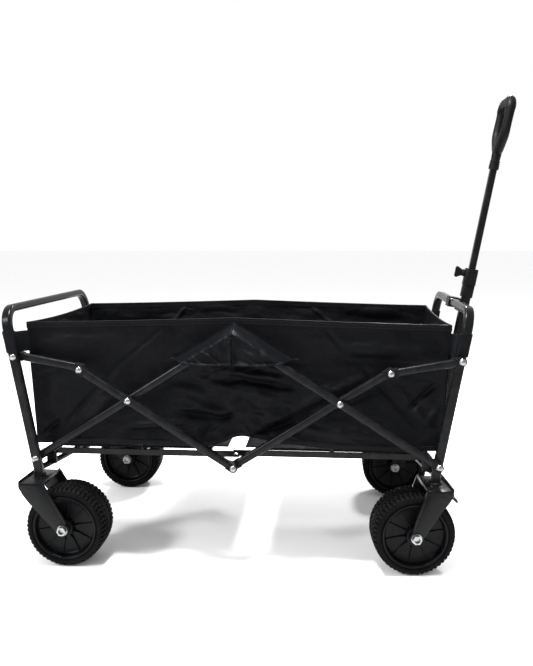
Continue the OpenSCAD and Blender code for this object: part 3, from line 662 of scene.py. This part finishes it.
def wall_bulge(x, z, side):
    """How far the cloth of a side wall stands outwards of its plane."""
    top, low = rim_height(x), LOW_Z
    share = (z - low) / (top - low)
    held = smooth(share / 0.06) * smooth((1 - share) / 0.07) * smooth((TOP_X - abs(x)) / 0.03)
    billow = 0.0030 * math.sin(math.pi * smooth((share - 0.45) / 0.55)) - 0.0080 * math.sin(math.pi * share)
    folds = NEAR_FOLDS if side < 0 else [(-a, b, -c, d, e, h) for a, b, c, d, e, h in NEAR_FOLDS]
    raised = billow + 1.7 * fold_height(x, z, folds) + wrinkle(x, z, 3.7 if side < 0 else 21.4)
    return min(held * raised, 0.0032)


def wall_rows(side, columns=260, rows=84):
    hem = NEAR_HEM if side < 0 else FAR_HEM
    grid = []
    for j in range(rows + 1):
        v = j / rows
        line = []
        for i in range(columns + 1):
            x_share = 2 * i / columns - 1
            x = x_share * (LOW_X + (TOP_X - LOW_X) * v)
            z = along_curve(hem, x) * (1 - v) + (rim_height(x) - 0.001) * v
            line.append(Vector((HUB_X + x, side * (WALL_Y - 0.0012 + wall_bulge(x, z, side)), z)))
        grid.append(line)
    return grid


def strip_along(shape, path, outward, up, height, thick):
    """Folded tape along a path: a slim closed band of the given height below the path."""
    rows = []
    for point in path:
        o = outward * thick / 2
        rows.append([point + o * 0.5 + up * 0.0006, point + o, point + o - up * height * 0.5,
                     point + o - up * height, point - o - up * height, point - o - up * height * 0.5,
                     point - o, point - o * 0.5 + up * 0.0006])
    shape.grid(rows, wrap_columns=True)


def stitches(shape, path, outward, drop, length=0.0032, gap=0.0020, slant=0.0016):
    """Zigzag stitches along a path, a distance below it, standing just proud of the cloth."""
    travelled, flip = 0.0, 1
    for a, b in zip(path, path[1:]):
        travelled += (b - a).length
        if travelled < length + gap:
            continue
        travelled = 0.0
        flip = -flip
        along = (b - a).normalized()
        rise = Vector((0, 0, slant * flip * 0.5))
        middle = a + outward - Vector((0, 0, drop))
        shape.tube([middle - along * length / 2 - rise, middle - rise * 0.2 + outward.normalized() * 0.0003,
                    middle + along * length / 2 + rise], 0.00045, sides=5)


def denser(path, steps=4):
    """The path with more points between each two; its last point is left out."""
    return [a.lerp(b, k / steps) for a, b in zip(path, path[1:]) for k in range(steps)]


BINDING_SEAMS = (0.0042, 0.0098)


def folds_up(piece):
    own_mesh(piece)


def side_wall(side, label):
    rows = wall_rows(side)
    shape = Shape()
    shape.grid(rows)
    nodes = ["basket_side_walls"]
    wall = shape.piece(f"basket_wall_{label}", "rear_frame", "basket_cloth", BASKET, nodes, 180, CLOTH)
    folds_up(wall)
    outward = Vector((0, side, 0))
    up = Vector((0, 0, 1))
    band = Shape()
    strip_along(band, [p.copy() for p in rows[-1]], outward, up, 0.0125, 0.0042)
    strip_along(band, [p + up * 0.0085 for p in rows[0]], outward, up, 0.0095, 0.0034)
    binding = band.piece(f"rim_binding_{label}", "rear_frame", "basket_cloth", TAPE, crease=50)
    folds_up(binding)
    seams = Shape()
    for drop in BINDING_SEAMS:
        stitches(seams, denser(rows[-1]), outward * 0.0023, drop)
    stitches(seams, denser(rows[0]), outward * 0.0019, -0.0040, slant=0.0)
    thread = seams.piece(f"rim_stitching_{label}", "rear_frame", "basket_cloth", THREAD, crease=180)
    folds_up(thread)


def end_wall(end, label, body):
    """End wall of the basket with its binding, between the two side walls."""
    half = WALL_Y - 0.003
    columns, rows = 110, 56
    grid = []
    for j in range(rows + 1):
        v = j / rows
        line = []
        for i in range(columns + 1):
            y = (2 * i / columns - 1) * half
            z = LOW_Z + 0.004 + (RIM_Z - 0.001 - LOW_Z - 0.004) * v
            held = smooth(v / 0.08) * smooth((1 - v) / 0.06) * smooth((half - abs(y)) / 0.02)
            dent = 0.005 * math.sin(math.pi * v) - wrinkle(y * 1.4, z, 8.3 + end)
            x = LOW_X + (TOP_X - LOW_X) * v - CLOTH - held * max(dent, -0.001)
            sag = 0.006 * (1 - (y / half) ** 2) * v ** 6
            line.append(Vector((HUB_X + end * x, y, z - sag)))
        grid.append(line)
    shape = Shape()
    shape.grid(grid)
    wall = shape.piece(f"basket_end_{label}", body, "basket_cloth", BASKET, [f"basket_{label}_wall"],
                       180, CLOTH)
    outward, up = Vector((end, 0, 0)), Vector((0, 0, 1))
    band = Shape()
    strip_along(band, grid[-1], outward, up, 0.0125, 0.0042)
    strip_along(band, [p + up * 0.0085 for p in grid[0]], outward, up, 0.0095, 0.0034)
    band.piece(f"end_binding_{label}", body, "basket_cloth", TAPE, crease=50)
    seams = Shape()
    for drop in BINDING_SEAMS:
        stitches(seams, denser(grid[-1]), outward * 0.0023, drop)
    seams.piece(f"end_stitching_{label}", body, "basket_cloth", THREAD, crease=180)


side_wall(NEAR, "near")
side_wall(FAR, "far")
end_wall(REAR, "rear", "rear_frame")
end_wall(FRONT, "front", "front_frame")


# ---- fabric tents over the upper hubs --------------------------------------------------------
FLAP_HALF = 0.134
FLAP_HEM = 0.436
FLAP_TOP = RIM_Z + RIM_RISE - 0.009
FLAP_OUT = {REAR: 0.0480, FRONT: 0.0455}


def flap_edge(x):
    """Height of the seam that joins the tent to the wall."""
    return FLAP_TOP + (FLAP_HEM - FLAP_TOP) * abs(x) / FLAP_HALF


def flap_point(end, side, x, t):
    """Point of the tent; t runs from the seam down to the hem."""
    hem = FLAP_HEM - 0.0025 * math.sin(abs(x) * 34) + 0.0015 * noise.noise(Vector((x * 30, side, 2)))
    top = max(flap_edge(x), hem + 0.001)
    z = top + (hem - top) * t
    out = smooth((top - z) / 0.021)
    pleat = math.exp(-(x / 0.006) ** 2) * 0.0035 * smooth(t / 0.3)
    crumple = (0.3 - abs(noise.noise(Vector((x * 30, side * 3 + end, z * 40 + x * 22))))) * 0.014 * out
    rope = 0.002 * smooth((t - 0.9) / 0.1)
    return Vector((HUB_X + x, side * (WALL_Y + 0.001 + FLAP_OUT[end] * out + max(crumple, -0.0003) + pleat
                                      + rope), z))


def flap(end, side, name, body, node):
    columns, rows = 72, 44
    inner = 0.0006
    grid = [[flap_point(end, side, end * (inner + (FLAP_HALF - inner) * i / columns), j / rows)
             for i in range(columns + 1)] for j in range(rows + 1)]
    shape = Shape()
    shape.grid(grid)
    cloth = shape.piece(name, body, "basket_cloth", BASKET, [node], 180, CLOTH)
    edges = Shape()
    lift = Vector((0, side * 0.0004, 0))
    edges.tube([p + lift for p in grid[-1]], 0.0024, 8)
    edges.tube([p + lift * 3 for p in grid[0]], 0.0012, 6, flat=0.7)
    trim = edges.piece(f"{name}_hem", body, "basket_cloth", TAPE, crease=180)
    return cloth, trim


for side, y_name in ((NEAR, "near"), (FAR, "far")):
    flap(REAR, side, f"rear_flap_{y_name}", "rear_rising", "rear_hub_flaps")
    flap(FRONT, side, f"front_flap_{y_name}", "front_rising", "front_hub_flaps")


# ---- corner sleeves --------------------------------------------------------------------------
def corner_sleeve(end, side, name, body, node, leg_y):
    """Fabric sleeve sewn round a hoop's leg, with the web that ties the basket's corner to it."""
    leg = POINTS["rear" if end < 0 else "front"]["leg"]
    low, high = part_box(node)
    z0, z1 = low.z + 0.001, high.z - 0.001
    half_w, half_t = 0.0118, 0.0089
    rows = []
    for j in range(15):
        z = z0 + (z1 - z0) * j / 14
        cx = leg.x + end * (z - leg.z) * math.tan(LEAN)
        ring = []
        for i in range(48):
            a = 2 * math.pi * i / 48
            c, s = math.cos(a), math.sin(a)
            x = half_w * math.copysign(abs(c) ** 0.45, c)
            y = half_t * math.copysign(abs(s) ** 0.45, s)
            puff = 1 + 0.035 * noise.noise(Vector((a * 2, z * 60, end + 3 * side)))
            ring.append(Vector((cx + x * puff / math.cos(LEAN), side * leg_y + y * puff, z)))
        rows.append(ring)
    shape = Shape()
    shape.grid(rows, wrap_columns=True)
    web = []
    for j in range(13):
        v = j / 12
        z = z0 + 0.001 + (z1 - z0 - 0.002) * v
        leg_side = leg.x + end * (z - leg.z) * math.tan(LEAN) - end * (half_w - 0.002)
        wall_side = HUB_X + end * (LOW_X + (TOP_X - LOW_X) * (z - LOW_Z) / (RIM_Z - LOW_Z)) - end * 0.004
        line = []
        for i in range(11):
            u = i / 10
            y = side * ((leg_y - 0.006) * (1 - u) + (WALL_Y + 0.0004) * u)
            dip = 0.0035 * math.sin(math.pi * u)
            line.append(Vector((leg_side + (wall_side - leg_side) * u, y - side * dip, z)))
        web.append(line)
    shape.grid(web)
    made = shape.piece(name, body, "basket_cloth", TAPE, [node], 60, 0.0011)
    seams = Shape()
    for v in (0.06, 0.94):
        z = z0 + (z1 - z0) * v
        row = web[round(v * 12)]
        stitches(seams, denser(row, 6), Vector((0, side * 0.0009, 0)), 0, length=0.0026, slant=0)
    seams.piece(f"{name}_stitching", body, "basket_cloth", THREAD, crease=180)


for side, y_name in ((NEAR, "near"), (FAR, "far")):
    corner_sleeve(REAR, side, f"rear_sleeve_{y_name}", "rear_frame", "rear_corner_sleeves", OUTER_Y)
    corner_sleeve(FRONT, side, f"front_sleeve_{y_name}", "front_frame", "front_corner_sleeves", INNER_Y)


# ---- floor mat -------------------------------------------------------------------------------
def puff(piece, limit, pressure=3.0, frames=16):
    """Swells a closed mesh under inner pressure, with each point's travel capped."""
    before = [v.co.copy() for v in piece.data.vertices]
    cloth = piece.modifiers.new("cloth", "CLOTH")
    cloth.settings.quality = 4
    cloth.settings.mass = 0.2
    cloth.settings.use_pressure = True
    cloth.settings.uniform_pressure_force = pressure
    cloth.settings.effector_weights.gravity = 0
    cloth.collision_settings.use_collision = False
    for step in range(1, frames + 1):
        bpy.context.scene.frame_set(step)
    apply_modifiers(piece)
    bpy.context.scene.frame_set(1)
    for v, old in zip(piece.data.vertices, before):
        move = v.co - old
        if move.length > limit:
            v.co = old + move * (limit / move.length)


NARROW = 0.915
NOTCH_END = 0.057


def beside_rail(x, y):
    """Y drawn in near the middle, where the other half's side rail passes while the wagon folds."""
    return y * (NARROW + (1 - NARROW) * smooth((abs(x - HUB_X) - NOTCH_END) / 0.004))


def outer_ring(rows):
    """The outermost points of a grid, once round."""
    return rows[0] + [r[-1] for r in rows[1:]] + rows[-1][-2::-1] + [r[0] for r in rows[-2:0:-1]]


def mat_board(name, x0, x1, node, body):
    """Padded board: a crowned pad with two sewn channels across and a piped edge."""
    low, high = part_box(node)
    y0, y1, z0, z1 = low.y + 0.002, high.y - 0.002, low.z + 0.0012, high.z - 0.0015
    columns, rows = 34, 70
    channels = [x0 + (x1 - x0) * k / 3 for k in (1, 2)]
    upper, lower = [], []
    for j in range(rows + 1):
        y = y0 + (y1 - y0) * j / rows
        over, under = [], []
        for i in range(columns + 1):
            x = x0 + (x1 - x0) * i / columns
            edge = min(x - x0, x1 - x, y - y0, y1 - y)
            crown = smooth(edge / 0.012)
            sewn = max(math.exp(-((x - c) / 0.0035) ** 2) for c in channels)
            top = z0 + 0.0045 + (z1 - z0 - 0.0045) * crown - 0.0026 * sewn * crown
            over.append(Vector((x, beside_rail(x, y), top)))
            under.append(Vector((x, beside_rail(x, y), z0 + 0.0030 * (1 - crown))))
        upper.append(over)
        lower.append(under)
    shape = Shape()
    shape.grid(upper)
    shape.grid(lower)
    shape.grid([outer_ring(lower), outer_ring(upper)], wrap_columns=True)
    pad = shape.piece(name, None, "mat_cloth", MAT, crease=180)
    weld = bmesh.new()
    weld.from_mesh(pad.data)
    bmesh.ops.remove_doubles(weld, verts=weld.verts, dist=0.00005)
    weld.to_mesh(pad.data)
    weld.free()
    puff(pad, 0.0012)
    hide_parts(node)
    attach(pad, body)
    trim = Shape()
    middle = (z0 + z1) / 2
    corners = [(x0, y0), (x1, y0), (x1, y1), (x0, y1)]
    loop = []
    for (ax, ay), (bx, by) in zip(corners, corners[1:] + corners[:1]):
        loop += [Vector((ax + (bx - ax) * k / 60, ay + (by - ay) * k / 60, middle)) for k in range(60)]
    loop = [Vector((point.x, beside_rail(point.x, point.y), point.z)) for point in loop]
    trim.tube(loop, 0.0016, 8, closed=True, side_axis=Vector((0, 0, 1)))
    trim.piece(f"{name}_piping", body, "mat_cloth", TAPE, crease=180)


def mat(end, label, node, body):
    low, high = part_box(node)
    middle = (low.x + high.x) / 2
    mat_board(f"mat_{label}_outer", low.x, middle - 0.002, node, body)
    mat_board(f"mat_{label}_inner", middle + 0.002, high.x, node, body)


mat(REAR, "rear", "rear_mat_boards", "rear_floor")
mat(FRONT, "front", "front_mat_boards", "front_floor")

# ---- pull handle -----------------------------------------------------------------------------
POLE = axes(PIVOT["handle_swing"], Vector((math.cos(LEAN), 0, -math.sin(LEAN))), Vector((0, 1, 0)),
            SLIDE.normalized())
POLE_LEN = 0.360
GRIP_LEN = 0.772


def clamp():
    """Clamp body: a slim sleeve on the lower pole and a wider block with recessed side panels."""
    shape = Shape()
    shape.prism(soft_square(0.0262, 0.006), 0.030, POLE @ Matrix.Translation((0, 0, POLE_LEN - 0.030)),
                0.001)
    shape.prism(soft_square(0.0280, 0.006), 0.036, POLE @ Matrix.Translation((0, 0, POLE_LEN)), 0.0014)
    shape.prism(soft_square(0.0288, 0.0062), 0.003, POLE @ Matrix.Translation((0, 0, POLE_LEN - 0.0015)),
                0.0009)
    for side in (NEAR, FAR):
        frame_box = [((0.017, 0.0016, 0.002), (0, side * 0.0141, 0.031)),
                     ((0.017, 0.0016, 0.002), (0, side * 0.0141, 0.006)),
                     ((0.002, 0.0016, 0.027), (0.0076, side * 0.0141, 0.0185)),
                     ((0.002, 0.0016, 0.027), (-0.0076, side * 0.0141, 0.0185))]
        for size, (x, y, z) in frame_box:
            shape.box(size, POLE @ Matrix.Translation((x, y, POLE_LEN + z)), 0.0004, 1)
    shape.piece("pole_clamp_body", "handle_lower", "black_plastic", PLASTIC, ["pole_clamp"], crease=34)


def knob():
    """Clamp screw with a winged knob."""
    turn = POLE @ Matrix.Translation((0, 0, POLE_LEN + 0.024)) @ Matrix.Rotation(math.radians(-90), 4, "Y")
    shape = Shape()
    stem = 0.014
    shape.turned([(0.0001, 0.009), (0.0049, 0.009), (0.0049, stem + 0.0006), (0.0080, stem + 0.0006),
                  (0.0082, stem + 0.0050), (0.0070, stem + 0.0066), (0.0001, stem + 0.0066)], turn, 36)
    wing = [(-0.0045, 0.0)] + arc(-0.0085, 0.0145, 0.0040, 200, 90, 5)
    wing += arc(0.0085, 0.0145, 0.0040, 90, -20, 5) + [(0.0045, 0.0)]
    upright = axes(Vector((0, 0.0042, stem + 0.0040)), Vector((1, 0, 0)), Vector((0, 0, 1)),
                   Vector((0, -1, 0)))
    shape.prism(wing, 0.0084, turn @ upright, 0.0016, 3)
    for k in range(3):
        rib = Matrix.Translation((0, 0, stem + 0.0095 + 0.0032 * k))
        shape.box((0.0175, 0.0094, 0.0012), turn @ rib, 0.0005, 1)
    shape.piece("clamp_wing_knob", "clamp_screw", "black_plastic", PLASTIC, ["clamp_knob"], crease=34)


def grip():
    """Loop grip: a padded top bar on two arms that meet in a neck and a socket on the pole."""
    half, top = 0.047, GRIP_LEN
    outline = [(0.0, top - 0.112), (half * 0.45, top - 0.094), (half * 0.9, top - 0.075),
               (half, top - 0.055), (half, top - 0.022)]
    outline += [(half - 0.024 + x, top - 0.024 + y) for x, y in arc(0, 0, 0.024, 12, 90, 7)]
    mirrored = [(-y, s) for y, s in reversed(outline[1:])]
    loop = [POLE @ Vector((0, y, s)) for y, s in outline + mirrored]
    for _ in range(2):
        loop = [p.lerp(q, k) for p, q in zip(loop, loop[1:] + loop[:1]) for k in (0.25, 0.75)]

    def thickness(share):
        swell = abs(share - 0.5)
        return 0.0109 - 0.0016 * math.exp(-((swell - 0.36) / 0.05) ** 2)

    shape = Shape()
    across = POLE.to_3x3() @ Vector((1, 0, 0))
    shape.tube(loop, thickness, 22, closed=True, side_axis=across)
    socket = [(0.0082, top - 0.1495), (0.0108, top - 0.1490), (0.0112, top - 0.1460), (0.0104, top - 0.135),
              (0.0098, top - 0.128), (0.0104, top - 0.120), (0.0108, top - 0.108), (0.0060, top - 0.103),
              (0.0060, top - 0.127), (0.0082, top - 0.1275)]
    shape.turned(socket, POLE, 40)
    for k in range(4):
        ring = [(0.0100, 0.0), (0.0116, 0.0006), (0.0116, 0.0018), (0.0100, 0.0024)]
        place = POLE @ Matrix.Translation((0, 0, top - 0.146 + 0.0045 * k))
        shape.turned(ring, place, 40)
    shape.piece("pull_grip", "handle_upper", "grip_plastic", GRIP, ["handle_grip"], crease=50)


def rail_screws():
    """Two cross-head screws on the front top rail beside the handle clip."""
    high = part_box("front_hoop")[1]
    clip_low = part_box("handle_clip")[0]
    shape = Shape()
    for side in (NEAR, FAR):
        place = Matrix.Translation(((clip_low.x + high.x) / 2 - 0.006, side * 0.034, high.z - 0.0008))
        shape.turned([(0.0001, 0.0), (0.0044, 0.0), (0.0042, 0.0010), (0.0030, 0.0021), (0.0001, 0.0026)],
                     place, 24)
        for turn in (0, 90):
            slot_place = place @ Matrix.Rotation(math.radians(turn + 20), 4, "Z")
            shape.box((0.0052, 0.0009, 0.0006), slot_place @ Matrix.Translation((0, 0, 0.0023)), 0.0001, 1)
    shape.piece("rail_screws", "front_frame", "bright_steel", STEEL, crease=34)


clamp()
knob()
grip()
rail_screws()


# ---- CAD nodes that stay ---------------------------------------------------------------------
LOOKS = {"frame_paint": PAINT, "black_plastic": PLASTIC, "bright_steel": STEEL, "tyre": RUBBER,
         "rim_plastic": RIM, "grip_plastic": GRIP, "basket_cloth": BASKET, "mat_cloth": MAT}
SLOT_OF = {part["node"]: part["material_slot"] for part in frame["record"]["subparts"]}
for node, part in frame["nodes"].items():
    part.data.materials.clear()
    part.data.materials.append(LOOKS[SLOT_OF[node]])
    part.data.shade_smooth()
    part.data.set_sharp_from_angle(angle=math.radians(30))


# ---- stage, lights and camera ----------------------------------------------------------------
def stage_floor():
    mesh = bpy.data.meshes.new("studio_floor")
    reach = 30.0
    mesh.from_pydata([(-reach, -reach, 0), (reach, -reach, 0), (reach, reach, 0), (-reach, reach, 0)], [],
                     [(0, 1, 2, 3)])
    mesh.materials.append(floor_finish())
    floor = bpy.data.objects.new("studio_floor", mesh)
    bpy.context.scene.collection.objects.link(floor)


def area_light(name, place, aim, size, power):
    data = bpy.data.lights.new(name, "AREA")
    data.shape = "RECTANGLE"
    data.size, data.size_y = size
    data.energy = power
    light = bpy.data.objects.new(name, data)
    light.location = place
    light.rotation_euler = (Vector(aim) - Vector(place)).to_track_quat("-Z", "Y").to_euler()
    bpy.context.scene.collection.objects.link(light)


def sky(strength):
    world = bpy.data.worlds.new("studio")
    world.use_nodes = True
    world.node_tree.nodes["Background"].inputs["Color"].default_value = (1, 1, 1, 1)
    world.node_tree.nodes["Background"].inputs["Strength"].default_value = strength
    bpy.context.scene.world = world


def camera():
    """The view: from the near side, a little above the rim, turned slightly towards the handle."""
    yaw, pitch, roll = math.radians(4.986), math.radians(-7.387), math.radians(-0.138)
    data = bpy.data.cameras.new("view")
    data.sensor_width = 36.0
    data.lens = 41.22
    data.clip_end = 100
    view = bpy.data.objects.new("view", data)
    view.matrix_world = (Matrix.Translation((HUB_X + 0.2044, -1.7897, 0.6979))
                         @ Matrix.Rotation(yaw, 4, "Z")
                         @ Matrix.Rotation(math.radians(90) + pitch, 4, "X")
                         @ Matrix.Rotation(roll, 4, "Z"))
    bpy.context.scene.collection.objects.link(view)
    bpy.context.scene.camera = view


stage_floor()
sky(1.0)
area_light("overhead", (-0.3, -0.35, 2.4), (0.0, 0.0, 0.4), (0.5, 0.35), 170)
area_light("window", (-2.4, -2.0, 2.2), (0.0, -0.2, 0.4), (0.5, 0.5), 90)
area_light("behind", (0.8, 2.2, 2.2), (0.0, 0.0, 0.5), (0.5, 0.4), 70)
camera()
bpy.context.scene.view_settings.view_transform = "Standard"
